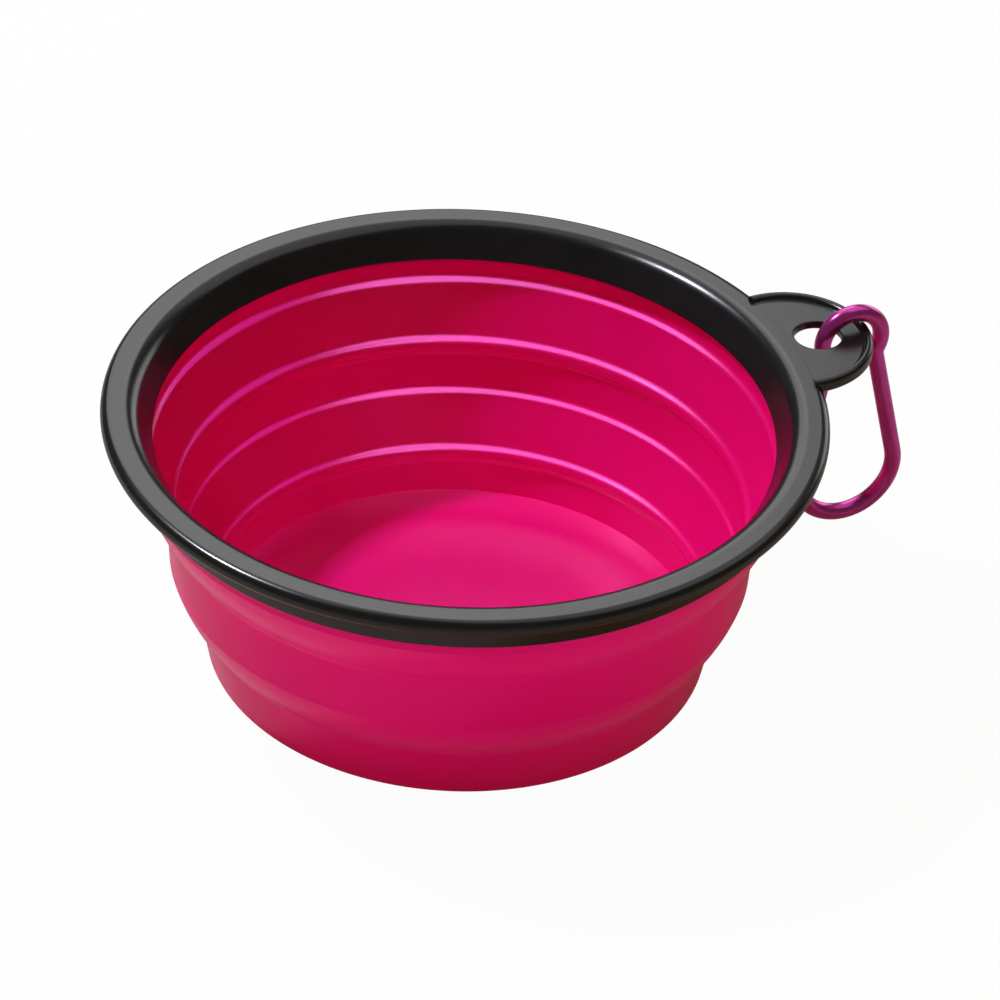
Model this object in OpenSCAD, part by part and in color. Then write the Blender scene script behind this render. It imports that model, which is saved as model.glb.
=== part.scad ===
// Collapsible silicone bowl: a stiff rim with a hang tab, a silicone cup that folds on two
// conical webs, and a small carabiner that hangs from the tab.
// Frame: origin at the middle of the flat base, +Z up, the tab points along +X. Millimetres.

/* [Silicone cup] */
// Inside radius where the wall meets the floor
floor_r = 44.2; // [38:0.1:52]
// Thickness of the floor
floor_t = 1.8; // [1.2:0.1:2.6]
// Height of the base tier, from the floor to its fold line
base_tier_h = 9.6; // [8:0.1:12]
// Height of the lower folding web
lower_web_h = 9.1; // [7:0.1:11]
// Height of the middle tier, between its two fold lines
middle_tier_h = 11.3; // [9:0.1:13]
// Height of the upper folding web
upper_web_h = 9.8; // [8:0.1:12]
// Height of the top tier, from its fold line to the rim's collar
top_tier_h = 4.45; // [3.8:0.05:6]
// How far the inside of the base tier leans out over its height
base_draft = 1; // [0.6:0.1:1.6]
// How far the inside of the middle tier leans out over its height
middle_draft = 0.8; // [0.4:0.1:1.4]
// How far the inside of the lower web steps out over its height
lower_web_step = 4.05; // [3.8:0.05:5.2]
// How far the inside of the upper web steps out over its height
upper_web_step = 3.75; // [3.6:0.05:5]
// Wall thickness of the middle and top tiers
tier_t = 1.9; // [1.5:0.1:2.2]
// Wall thickness of the base tier at its foot
foot_t = 1.3; // [1:0.1:1.6]
// Wall thickness of the base tier at its fold line
base_top_t = 2.5; // [2:0.1:2.8]
// Radius of the rounded foot edge
foot_round = 1.2; // [0.6:0.1:1.2]
// Radius of the rounded nose at the top of a tier
nose_r = 1.1; // [0.5:0.05:1.2]
// How far a nose stands in from its tier's wall
nose_lip = 0.35; // [0.2:0.05:0.5]
// Radius of the small ledge at the bottom of a tier
ledge_r = 0.8; // [0.25:0.05:0.9]
// How far the foot of a web sits behind the wall of the tier below it
web_setback = 0.65; // [0.5:0.05:0.9]
// Height of the upright foot of a web, just above a nose
web_foot_h = 1.3; // [0.8:0.1:2]
// How far the outside of a web overhangs the tier below it
web_overhang = 0.5; // [0.2:0.1:0.7]
// How far the outside of a web bulges
web_bulge = 0.5; // [0.2:0.1:0.8]

/* [Rim] */
// How far the rim reaches out past the inside of the top tier
rim_reach = 9.15; // [8.6:0.05:12]
// Radius of the rolled outer edge
roll_r = 1.6; // [1.5:0.1:1.9]
// Width of the flat top, from its inner edge to the roll's centre
flat_w = 3.55; // [3:0.05:3.8]
// Depth of the step from the flat top to the lip of the collar
lip_step = 0.15; // [0.1:0.05:0.4]
// Radius of the rounded lip of the collar
lip_r = 1.4; // [1.1:0.05:1.5]
// Height of the sloping collar, from its foot to the middle of its lip
collar_h = 4.55; // [4.3:0.05:5.4]
// How far the collar leans out over its height
collar_lean = 2.7; // [2.4:0.05:2.75]
// How far the foot of the collar covers the top tier's ledge
collar_cover = 0.4; // [0.2:0.05:0.5]
// Width of the collar's wall, measured level
collar_t = 1.5; // [1.2:0.1:1.8]
// Height of the silicone bead above the foot of the collar
bead_up = 2.5; // [2.2:0.1:2.8]
// Radius of the silicone bead that is held in the rim
bead_r = 1.25; // [1.1:0.05:1.4]
// Clearance between the silicone bead and its groove
bead_gap = 0.05; // [0.02:0.01:0.1]
// Wall thickness of the skirt
skirt_t = 1; // [0.8:0.1:1.2]
// Gap between the foot of the skirt and the top tier
skirt_gap = 0.8; // [0.6:0.1:1.6]
// How far the skirt hangs below the foot of the collar
skirt_drop = 2.35; // [1.5:0.05:3]

/* [Tab] */
// Radius of the half-moon tab
tab_r = 15.1; // [13.5:0.1:17]
// How far the tab's centre lies inside the rim's outer edge
tab_inset = 1.6; // [1:0.1:3]
// Depth of the tab's face below the top of the rim
tab_drop = 0.1; // [0.05:0.05:0.3]
// Thickness of the tab's plate
tab_t = 1.6; // [1.2:0.1:2]
// Half width of the raised edge round the tab
edge_r = 0.9; // [0.7:0.05:1.1]
// Height of the raised edge's top above the tab's face
edge_up = 1; // [0.7:0.05:1.2]
// Diameter of the hole in the tab
hole_d = 8.7; // [8:0.1:9.4]
// Distance of the hole from the tab's centre, outwards
hole_out = 5.5; // [5.2:0.1:5.8]

/* [Carabiner] */
// Diameter of the rod
rod_d = 3.1; // [2.8:0.05:3.3]
// Radius of the small eye, to the middle of the rod
eye_r = 5.85; // [5.7:0.05:6.2]
// Radius of the wide end, to the middle of the rod
bend_r = 9.7; // [9:0.1:11]
// Distance between the centres of the two ends
span = 29; // [27:0.5:36]
// Lean of the straight sides, in degrees
side_lean = 11.3; // [9.5:0.1:12]
// Radius of the neck below the eye, to the middle of the rod
neck_r = 3; // [2.5:0.1:4]
// Lean of the hanging carabiner, in degrees
hang_lean = 2; // [0:0.5:4]
// Clearance between the eye and the tab's raised edge that it hangs on
hang_gap = 0.3; // [0.2:0.05:0.4]

/* [Gate] */
// Thickness of the flat tongues on the body
tongue_t = 1.1; // [0.9:0.05:1.3]
// Width of the tongue at the rivet
tongue_w = 2.2; // [2:0.1:2.6]
// Clearance at the ends of the gate and of its slots
gate_gap = 0.2; // [0.15:0.05:0.3]
// Clearance on each side of a tongue in its slot
slot_gap = 0.15; // [0.1:0.05:0.2]
// Radius of the gate rivet
rivet_r = 0.55; // [0.45:0.05:0.65]
// Running clearance of the rivet in the body's tongue
rivet_gap = 0.05; // [0.02:0.01:0.08]
// Width of the nose tongue
nose_w = 2.4; // [2.2:0.1:2.8]
// Length of the nose tongue
nose_h = 3.6; // [3.4:0.1:4.5]
// Radius of the latch pin
pin_r = 0.5; // [0.4:0.05:0.6]
// Height of the latch pin above the foot of the nose tongue
pin_up = 2.2; // [2:0.1:2.3]
// Clearance of the latch pin in the notch
pin_gap = 0.1; // [0.06:0.02:0.16]
// Radius of the spring wire
wire_r = 0.3; // [0.2:0.05:0.4]
// Length of the spring wire inside the gate
wire_in = 5; // [3:0.5:8]
// Length of the spring wire in the open slot
wire_out = 1; // [0.8:0.1:1.4]
// Distance of the spring wire from the middle of the gate
wire_off = 0.35; // [0.2:0.05:0.5]
// Clearance round the spring wire in its bore and at its tip
wire_gap = 0.05; // [0.03:0.01:0.08]

/* [Hidden] */
$fn = 96;
// How far cuts run past the faces that they open
overrun = 1;
// Steps along a bulged web
web_steps = 8;
// How much thinner the inner one of two rod lengths is where they meet
joint_step = 0.02;
// How far the inner one of two rod lengths runs into the other
joint_run = 0.2;
// Share of the web's bulge that its inside has
inner_bulge_share = 0.4;
// Colours of the moulding, the rod and the steel pieces
silicone_colour = "#d3006a";
rim_colour = "#26282a";
rod_colour = "#98266e";
steel_colour = "#b9bcc0";

// Heights of the fold lines
base_fold_z = floor_t + base_tier_h;
middle_low_z = base_fold_z + lower_web_h;
middle_top_z = middle_low_z + middle_tier_h;
top_fold_z = middle_top_z + upper_web_h;
collar_z = top_fold_z + top_tier_h;
collar_top_z = collar_z + collar_h;
lip_z = collar_top_z + lip_r;
bowl_h = lip_z + lip_step;

// Inside radii of the tiers and webs, from the floor up
base_in_r = floor_r + base_draft;
lower_foot_r = base_in_r + web_setback;
lower_top_r = lower_foot_r + lower_web_step;
middle_low_r = lower_top_r + ledge_r;
middle_in_r = middle_low_r + middle_draft;
upper_foot_r = middle_in_r + web_setback;
upper_top_r = upper_foot_r + upper_web_step;
top_in_r = upper_top_r + ledge_r;

// Outside radii of the same
foot_out_r = floor_r + foot_t;
base_out_r = base_in_r + base_top_t;
middle_low_out_r = middle_low_r + tier_t;
middle_out_r = middle_in_r + tier_t;
top_out_r = top_in_r + tier_t;

// The collar, the silicone bead behind it and the skirt outside that
collar_r = upper_top_r - collar_cover;
collar_slope = collar_lean / collar_h;
flange_root_z = collar_z - (collar_r + collar_t - top_in_r) / collar_slope;
bead_z = collar_z + bead_up;
bead_in_r = collar_r + collar_t + bead_up * collar_slope;
bead_mid_r = bead_in_r + tier_t / 2;
rim_r = upper_top_r + rim_reach;
roll_x = rim_r - roll_r;
roll_z = bowl_h - roll_r;
flat_in_r = roll_x - flat_w;
collar_tilt = atan(collar_slope);
lip_x = collar_r + collar_lean + lip_r / cos(collar_tilt);
skirt_top_r = bead_mid_r + bead_r + bead_gap + skirt_t;
skirt_in_r = top_out_r + skirt_gap;
skirt_z = collar_z - skirt_drop;

// The tab
tab_x = rim_r - tab_inset;
tab_face_z = bowl_h - tab_drop;
tab_low_z = tab_face_z - tab_t;
edge_mid_r = tab_r - edge_r;
edge_z = tab_face_z + edge_up - edge_r;
hole_x = tab_x + hole_out;

// The carabiner: its eye hangs round the bar between the hole and the tab's edge
rod_r = rod_d / 2;
eye_x = (hole_x + hole_d / 2 + tab_x + tab_r) / 2;
edge_x = tab_x + edge_mid_r;
eye_reach = eye_r - rod_r - hang_gap - edge_r;
eye_z = edge_z - sqrt(eye_reach * eye_reach - (edge_x - eye_x) * (edge_x - eye_x));
side_x = bend_r - span * sin(side_lean);
bend_y = span * cos(side_lean);
neck_x = side_x + neck_r;
neck_y = sqrt((eye_r + neck_r) * (eye_r + neck_r) - neck_x * neck_x);
neck_a = atan2(neck_y, neck_x);
neck_run_a = joint_run / neck_r * 180 / PI;
bend_run_a = joint_run / bend_r * 180 / PI;
eye_start_a = side_lean - neck_a;
eye_sweep_a = 180 - 2 * eye_start_a;
bend_start_a = 180 - side_lean;
bend_sweep_a = 180 + 2 * side_lean;

// The gate, along the straight line of its side
pivot_y = neck_y + rod_r + gate_gap;
gate_end_y = bend_y - gate_gap;
slot_t = tongue_t + 2 * slot_gap;
slot_floor_y = pivot_y + tongue_w / 2 + wire_gap + wire_out;
pin_y = bend_y - pin_up;
nose_tip_y = bend_y - nose_h;

// A point on a bulged line between two points of the section, at the share s of its length
function bulged(low, high, bulge, s) =
    let (run = high - low,
         out = [run[1], -run[0]] / norm(run))
    low + run * s + out * bulge * 4 * s * (1 - s);

// The points of a bulged line between two points of the section
function bulged_line(low, high, bulge) =
    [for (i = [0 : web_steps]) bulged(low, high, bulge, i / web_steps)];

function backwards(list) = [for (i = [len(list) - 1 : -1 : 0]) list[i]];

// Section of a folding web: upright foot and bulged slope inside, bulged overhanging face outside
module web_section(foot_r, top_r, low_out_r, top_out_r, low_z, top_z) {
    knee = [foot_r, low_z + web_foot_h];
    inside = bulged_line(knee, [top_r, top_z], web_bulge * inner_bulge_share);
    outside = bulged_line([low_out_r + web_overhang, low_z], [top_out_r, top_z], web_bulge);
    polygon(concat([[foot_r, low_z]], outside, backwards(inside)));
}

// Inner half of the rounded nose at the top of a tier, at the inside radius wall_r of that tier
module nose_section(wall_r, top_z) {
    in_r = wall_r - nose_lip;
    intersection() {
        translate([in_r + nose_r, top_z - nose_r])
            circle(nose_r);
        translate([in_r, top_z - 2 * nose_r])
            square([nose_r, 2 * nose_r]);
    }
}

// Upper half of the small ledge at the bottom of a tier, standing in to the radius in_r
module ledge_section(in_r, low_z) {
    intersection() {
        translate([in_r + ledge_r, low_z])
            circle(ledge_r);
        translate([in_r, low_z])
            square([2 * ledge_r, ledge_r]);
    }
}

// Top tier's wall, its leaning flange and the bead that the rim holds, with a clearance all round
module flange_section(gap) {
    polygon([
        [top_in_r - gap, top_fold_z],
        [top_out_r + gap, top_fold_z],
        [top_out_r + gap, flange_root_z],
        [bead_in_r + tier_t + gap, bead_z],
        [bead_in_r - gap, bead_z],
        [top_in_r - gap, flange_root_z]
    ]);
    translate([bead_mid_r, bead_z])
        circle(bead_r + gap);
}

module rim_section() {
    difference() {
        union() {
            polygon([
                [collar_r, collar_z],
                [skirt_in_r, collar_z],
                [skirt_in_r, skirt_z],
                [skirt_in_r + skirt_t, skirt_z],
                [skirt_top_r, bowl_h - 2 * roll_r],
                [roll_x, bowl_h - 2 * roll_r],
                [roll_x, bowl_h],
                [flat_in_r, bowl_h],
                [flat_in_r, lip_z],
                [lip_x, lip_z],
                [lip_x - lip_r * cos(collar_tilt), collar_top_z + lip_r * sin(collar_tilt)]
            ]);
            translate([lip_x, collar_top_z])
                circle(lip_r);
            translate([roll_x, roll_z])
                circle(roll_r);
        }
        flange_section(bead_gap);
    }
}

// Half-moon tab with a raised edge, cut off inside the rim
module tab() {
    difference() {
        translate([tab_x, 0, 0]) {
            translate([0, 0, tab_low_z])
                cylinder(r = edge_mid_r, h = tab_t);
            rotate_extrude() {
                translate([edge_mid_r, edge_z])
                    circle(edge_r);
                translate([edge_mid_r - edge_r, tab_low_z])
                    square([2 * edge_r, edge_z - tab_low_z]);
            }
        }
        cylinder(r = roll_x, h = bowl_h + edge_up + overrun);
        translate([hole_x, 0, tab_low_z - overrun])
            cylinder(d = hole_d, h = tab_t + 2 * overrun);
    }
}

module rim_ring() {
    color(rim_colour) {
        rotate_extrude()
            rim_section();
        tab();
    }
}

module top_tier() {
    color(silicone_colour)
        rotate_extrude() {
            flange_section(0);
            ledge_section(upper_top_r, top_fold_z);
        }
}

module upper_fold_web() {
    color(silicone_colour)
        rotate_extrude()
            web_section(upper_foot_r, upper_top_r, middle_out_r, top_out_r, middle_top_z, top_fold_z);
}

module middle_tier() {
    color(silicone_colour)
        rotate_extrude() {
            polygon([
                [middle_low_r, middle_low_z],
                [middle_low_out_r, middle_low_z],
                [middle_out_r, middle_top_z],
                [middle_in_r - nose_lip + nose_r, middle_top_z],
                [middle_in_r, middle_top_z - nose_r]
            ]);
            nose_section(middle_in_r, middle_top_z);
            ledge_section(lower_top_r, middle_low_z);
        }
}

module lower_fold_web() {
    color(silicone_colour)
        rotate_extrude()
            web_section(lower_foot_r, lower_top_r, base_out_r, middle_low_out_r, base_fold_z, middle_low_z);
}

module base_cup() {
    color(silicone_colour)
        rotate_extrude() {
            polygon([
                [0, 0],
                [foot_out_r - foot_round, 0],
                [foot_out_r, foot_round],
                [base_out_r, base_fold_z],
                [base_in_r - nose_lip + nose_r, base_fold_z],
                [base_in_r, base_fold_z - nose_r],
                [floor_r, floor_t],
                [0, floor_t]
            ]);
            translate([foot_out_r - foot_round, foot_round])
                circle(foot_round);
            nose_section(base_in_r, base_fold_z);
        }
}

// Places the carabiner's own plane: x outwards, y up, the eye's centre at its origin
module clip_place() {
    translate([eye_x, 0, eye_z])
        rotate([0, -hang_lean, 0])
            rotate([90, 0, 0])
                children();
}

// Turns to one straight side, which then runs down along -y at x = side_x
module spine_side() {
    rotate([0, 0, side_lean])
        children();
}

module gate_side() {
    mirror([1, 0, 0])
        spine_side()
            children();
}

// Part of a ring of rod about the origin
module rod_arc(mid_r, start_a, sweep_a, r) {
    rotate([0, 0, start_a])
        rotate_extrude(angle = sweep_a)
            translate([mid_r, 0])
                circle(r);
}

// Round piece across the plane, with its middle in the plane
module across(x, y, r, h) {
    translate([x, y, 0])
        cylinder(r = r, h = h, center = true);
}

// Straight rod along a side, between two distances down it
module side_rod(top_y, low_y) {
    translate([side_x, -top_y, 0])
        rotate([90, 0, 0])
            cylinder(r = rod_r, h = low_y - top_y);
}

// Flat plate along a side, in the middle of the rod
module side_plate(w, t, top_y, low_y) {
    translate([side_x - w / 2, -low_y, -t / 2])
        cube([w, low_y - top_y, t]);
}

// Neck from the eye to a straight side, running on past its end by the angle on_a
module neck_bend(on_a) {
    translate([neck_x, -neck_y, 0])
        rod_arc(neck_r, 180 - neck_a - neck_run_a, neck_a + neck_run_a + on_a, rod_r - joint_step);
}

// Tongue that the gate turns on, with its rivet hole
module hinge_tongue() {
    difference() {
        union() {
            side_plate(tongue_w, tongue_t, neck_y - joint_run, pivot_y);
            across(side_x, -pivot_y, tongue_w / 2, tongue_t);
        }
        across(side_x, -pivot_y, rivet_r + rivet_gap, tongue_t + overrun);
    }
}

// Tongue of the nose, with the notch that opens to the inside for the latch pin
module nose_tongue() {
    notch_r = pin_r + pin_gap;
    difference() {
        side_plate(nose_w, tongue_t, nose_tip_y, bend_y + joint_run);
        across(side_x, -pin_y, notch_r, tongue_t + overrun);
        translate([side_x - nose_w / 2 - overrun, -pin_y - notch_r, -tongue_t / 2 - overrun])
            cube([nose_w / 2 + overrun, 2 * notch_r, tongue_t + 2 * overrun]);
    }
}

module carabiner_body() {
    color(rod_colour)
        clip_place() {
            rod_arc(eye_r, eye_start_a, eye_sweep_a, rod_r);
            spine_side() {
                neck_bend(neck_run_a);
                side_rod(neck_y, bend_y);
            }
            translate([0, -span, 0])
                rod_arc(bend_r, bend_start_a, bend_sweep_a + bend_run_a, rod_r - joint_step);
            gate_side() {
                neck_bend(0);
                hinge_tongue();
                nose_tongue();
            }
        }
}

// Rod of the gate, rounded about the rivet at its top
module gate_blank() {
    intersection() {
        side_rod(pivot_y - rod_r, gate_end_y);
        union() {
            across(side_x, -pivot_y, rod_r, rod_d + overrun);
            side_plate(rod_d + overrun, rod_d + overrun, pivot_y, gate_end_y + overrun);
        }
    }
}

module carabiner_gate() {
    color(rod_colour)
        clip_place()
            gate_side()
                difference() {
                    gate_blank();
                    side_plate(rod_d + overrun, slot_t, pivot_y - rod_d, slot_floor_y);
                    side_plate(rod_d + overrun, slot_t, nose_tip_y - gate_gap, gate_end_y + overrun);
                    across(side_x, -pivot_y, rivet_r, rod_d + overrun);
                    across(side_x, -pin_y, pin_r, rod_d + overrun);
                    translate([side_x + wire_off, -slot_floor_y + overrun, 0])
                        rotate([90, 0, 0])
                            cylinder(r = wire_r + wire_gap, h = wire_in + wire_gap + overrun);
                }
}

module gate_rivet() {
    color(steel_colour)
        clip_place()
            gate_side()
                across(side_x, -pivot_y, rivet_r, rod_d);
}

module latch_pin() {
    color(steel_colour)
        clip_place()
            gate_side()
                across(side_x, -pin_y, pin_r, rod_d);
}

// Straight spring wire that stands in the gate and presses on the end of the hinge tongue
module gate_spring() {
    color(steel_colour)
        clip_place()
            gate_side()
                translate([side_x + wire_off, -slot_floor_y + wire_out, 0])
                    rotate([90, 0, 0])
                        cylinder(r = wire_r, h = wire_out + wire_in);
}

rim_ring();
top_tier();
upper_fold_web();
middle_tier();
lower_fold_web();
base_cup();
carabiner_body();
carabiner_gate();
gate_rivet();
latch_pin();
gate_spring();
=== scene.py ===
"""Looks of a collapsible silicone bowl with a stiff rim and a hanging carabiner.

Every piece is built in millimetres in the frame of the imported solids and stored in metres.
"""
from __future__ import annotations

import logging
import math
from dataclasses import dataclass
from enum import Enum
from typing import Any, Sequence

import bmesh
import bpy
from mathutils import Matrix, Vector


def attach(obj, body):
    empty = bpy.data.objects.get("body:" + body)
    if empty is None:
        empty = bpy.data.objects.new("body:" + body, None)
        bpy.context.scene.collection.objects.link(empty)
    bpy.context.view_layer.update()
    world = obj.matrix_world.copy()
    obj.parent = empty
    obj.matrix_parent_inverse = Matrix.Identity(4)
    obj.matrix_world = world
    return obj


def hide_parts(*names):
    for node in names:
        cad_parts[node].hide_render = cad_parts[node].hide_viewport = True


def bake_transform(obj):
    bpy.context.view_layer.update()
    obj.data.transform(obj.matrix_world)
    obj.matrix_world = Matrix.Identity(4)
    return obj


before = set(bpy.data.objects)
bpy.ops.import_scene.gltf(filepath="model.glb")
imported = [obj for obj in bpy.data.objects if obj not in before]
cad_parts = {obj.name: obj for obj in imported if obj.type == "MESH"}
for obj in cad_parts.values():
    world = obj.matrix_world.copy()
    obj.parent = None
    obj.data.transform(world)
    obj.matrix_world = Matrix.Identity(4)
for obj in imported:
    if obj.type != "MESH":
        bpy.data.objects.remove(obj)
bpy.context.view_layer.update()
MM = 0.001
WELD = 2e-7
CREASE_DEG = 38.0
WHITE = (1.0, 1.0, 1.0)
LOG = logging.getLogger("bowl")

Flat = tuple[float, float]
Corner = tuple[float, float, float]
Colour = tuple[float, float, float]
Place = Sequence[float]
Thing = bpy.types.Object
Socket = bpy.types.NodeSocket


class Body(str, Enum):
    """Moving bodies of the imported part."""

    RIM = "rim"
    MIDDLE = "middle"
    BASE = "base"
    CARABINER = "carabiner"
    GATE = "gate"


class Slot(str, Enum):
    """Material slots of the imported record."""

    RIM = "rim_plastic"
    SILICONE = "silicone"
    ROD = "anodised_rod"
    STEEL = "pin_steel"


class Signal:
    """One number that varies over a surface, with arithmetic that adds Math nodes."""

    def __init__(self, graph: Graph, socket: Socket) -> None:
        """Keeps the graph and the socket that gives the number."""
        self.graph = graph
        self.socket = socket

    def __add__(self, other: Signal | float) -> Signal:
        """Sum."""
        return self.graph.math("ADD", self, other)

    def __sub__(self, other: Signal | float) -> Signal:
        """Difference."""
        return self.graph.math("SUBTRACT", self, other)

    def __rsub__(self, other: float) -> Signal:
        """Difference from a plain number."""
        return self.graph.math("SUBTRACT", other, self)

    def __mul__(self, other: Signal | float) -> Signal:
        """Product."""
        return self.graph.math("MULTIPLY", self, other)

    __radd__ = __add__
    __rmul__ = __mul__

    def clamped(self) -> Signal:
        """The number held between zero and one."""
        return self.graph.math("MINIMUM", self.graph.math("MAXIMUM", self, 0.0), 1.0)

    def spread(self, contrast: float, middle: float = 0.5) -> Signal:
        """The number with more contrast, its middle value brought to one half."""
        return self * contrast + (0.5 - contrast * middle)

    def mixed(self, other: Signal, share: float) -> Signal:
        """Mix with a share of another number."""
        return self * (1.0 - share) + other * share


class Graph:
    """Node tree of a material, of the world or of a kind of piece."""

    relief_share = 0.5

    def __init__(self, tree: bpy.types.NodeTree) -> None:
        """Takes over a node tree and empties it."""
        self.tree = tree
        self.tree.nodes.clear()

    def node(self, kind: str, inputs: dict[str | int, Any] | None = None,
             **settings: Any) -> bpy.types.Node:
        """Adds a node.

        Args:
            kind: Blender's type name of the node.
            inputs: values or links of its sockets, by name or by number.
            settings: properties that are set first.

        Returns:
            The new node.
        """
        made = self.tree.nodes.new(kind)
        for name, value in settings.items():
            setattr(made, name, value)
        for key, value in (inputs or {}).items():
            source = value.socket if isinstance(value, Signal) else value
            if isinstance(source, Socket):
                self.tree.links.new(source, made.inputs[key])
            else:
                made.inputs[key].default_value = source
        return made

    def math(self, operation: str, a: Signal | Socket | float,
             b: Signal | Socket | float = 0.0) -> Signal:
        """Adds a Math node and gives its result."""
        made = self.node("ShaderNodeMath", {0: a, 1: b}, operation=operation)
        return Signal(self, made.outputs[0])

    def place(self) -> Socket:
        """Object coordinates of the piece."""
        return self.node("ShaderNodeTexCoord").outputs["Object"]

    def noise(self, scale: float, detail: float = 2.0, rough: float = 0.5,
              stretch: Corner = (1.0, 1.0, 1.0)) -> Signal:
        """Noise over the surface.

        Args:
            scale: features to a metre.
            detail: octaves.
            rough: strength of the finer octaves.
            stretch: scale along each axis.

        Returns:
            A number round one half.
        """
        where = self.node("ShaderNodeMapping", {"Vector": self.place(), "Scale": stretch})
        made = self.node("ShaderNodeTexNoise", {"Vector": where.outputs[0], "Scale": scale,
                                                "Detail": detail, "Roughness": rough})
        return Signal(self, made.outputs["Fac"])

    def tint(self, share: Signal, low: Colour, high: Colour) -> Socket:
        """Mixes two linear colours, by the share of the second."""
        ends = {0: share.clamped(), 6: (*low, 1.0), 7: (*high, 1.0)}
        return self.node("ShaderNodeMix", ends, data_type="RGBA").outputs[2]

    def bump(self, height: Signal, depth: float) -> Socket:
        """Normal of a fine relief, with a height from zero to one and a depth in metres."""
        relief = {"Height": height, "Distance": depth, "Strength": self.relief_share}
        return self.node("ShaderNodeBump", relief).outputs[0]

    def glow(self, colour: Colour, strength: Signal | float) -> Socket:
        """A shader that gives off light."""
        made = self.node("ShaderNodeEmission", {"Color": (*colour, 1.0), "Strength": strength})
        return made.outputs[0]

    def blend(self, share: Signal, first: Socket, second: Socket) -> Socket:
        """A shader between two others."""
        return self.node("ShaderNodeMixShader", {0: share, 1: first, 2: second}).outputs[0]


class Finish:
    """A finish that makes one material, shared by the pieces that wear it."""

    name: str
    low: Colour
    high: Colour
    rough: float
    rough_rise: float
    depth: float

    def dress(self, graph: Graph) -> dict[str, Any]:
        """Gives the inputs of the Principled shader."""
        raise NotImplementedError

    def skin(self, graph: Graph, cloud: Signal, film: Signal, relief: Signal) -> dict[str, Any]:
        """Gives the inputs that every finish has.

        Args:
            graph: node tree of the material.
            cloud: share of the second colour.
            film: rise of the roughness.
            relief: height of the fine relief.

        Returns:
            Links by the name of the input.
        """
        return {"Base Color": graph.tint(cloud, self.low, self.high),
                "Roughness": self.rough + film * self.rough_rise,
                "Normal": graph.bump(relief, self.depth)}

    def material(self) -> bpy.types.Material:
        """Makes the material on its first use.

        Returns:
            The material of this finish.
        """
        found = bpy.data.materials.get(self.name)
        if found:
            return found
        made = bpy.data.materials.new(self.name)
        made.use_nodes = True
        graph = Graph(made.node_tree)
        shader = graph.node("ShaderNodeBsdfPrincipled", self.dress(graph))
        graph.node("ShaderNodeOutputMaterial", {"Surface": shader.outputs[0]})
        return made


@dataclass(frozen=True)
class Silicone(Finish):
    """Satin magenta silicone, slightly uneven and a little translucent."""

    name: str = "satin_silicone"
    low: Colour = (0.63, 0.0006, 0.155)
    high: Colour = (0.7, 0.0008, 0.185)
    rough: float = 0.2
    rough_rise: float = 0.08
    depth: float = 0.00002

    def dress(self, graph: Graph) -> dict[str, Any]:
        """Mottled colour, uneven gloss and a fine moulded skin."""
        cloud = graph.noise(scale=28.0, detail=3.0)
        pores = graph.noise(scale=2600.0)
        film = graph.noise(scale=90.0, detail=4.0, rough=0.6)
        return {
            **self.skin(graph, cloud.spread(1.6), film, pores),
            "IOR": 1.41,
            "Specular Tint": (1.0, 0.22, 0.95, 1.0),
            "Subsurface Weight": 0.12,
            "Subsurface Radius": (1.0, 0.12, 0.25),
            "Subsurface Scale": 0.0015,
        }


@dataclass(frozen=True)
class RimPlastic(Finish):
    """Glossy black moulded plastic with a faint ripple and light handling marks."""

    name: str = "gloss_rim_plastic"
    low: Colour = (0.0045, 0.005, 0.0056)
    high: Colour = (0.008, 0.0086, 0.0095)
    rough: float = 0.17
    rough_rise: float = 0.1
    depth: float = 0.00003

    def dress(self, graph: Graph) -> dict[str, Any]:
        """Deep black with a slow ripple, finer grain and faint dull patches."""
        ripple = graph.noise(scale=240.0, detail=1.0)
        grain = graph.noise(scale=3800.0)
        patches = graph.noise(scale=70.0, detail=5.0, rough=0.65)
        relief = ripple.mixed(grain, 0.2)
        return {**self.skin(graph, patches.spread(2.0, 0.55), patches, relief), "IOR": 1.52}


@dataclass(frozen=True)
class Anodised(Finish):
    """Tumbled and anodised aluminium in magenta, with a cloudy dye."""

    name: str = "magenta_anodised_aluminium"
    low: Colour = (0.55, 0.045, 0.35)
    high: Colour = (0.68, 0.075, 0.45)
    rough: float = 0.18
    rough_rise: float = 0.1
    depth: float = 0.00002

    def dress(self, graph: Graph) -> dict[str, Any]:
        """Cloudy dye, satin skin and short tumbling scratches."""
        dye = graph.noise(scale=160.0, detail=3.0)
        satin = graph.noise(scale=5200.0, detail=3.0, rough=0.6)
        scratch = graph.noise(scale=900.0, stretch=(1.0, 1.0, 6.0))
        relief = satin.mixed(scratch, 0.4)
        return {**self.skin(graph, dye.spread(1.8), satin, relief), "Metallic": 0.8}


@dataclass(frozen=True)
class PinSteel(Finish):
    """Plain drawn steel wire and pins."""

    name: str = "drawn_pin_steel"
    low: Colour = (0.36, 0.365, 0.38)
    high: Colour = (0.56, 0.57, 0.59)
    rough: float = 0.16
    rough_rise: float = 0.12
    depth: float = 0.00001

    def dress(self, graph: Graph) -> dict[str, Any]:
        """Grey metal with fine drawing marks."""
        marks = graph.noise(scale=3000.0, detail=3.0, rough=0.6)
        return {**self.skin(graph, marks.spread(1.4), marks, marks), "Metallic": 1.0}


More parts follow.
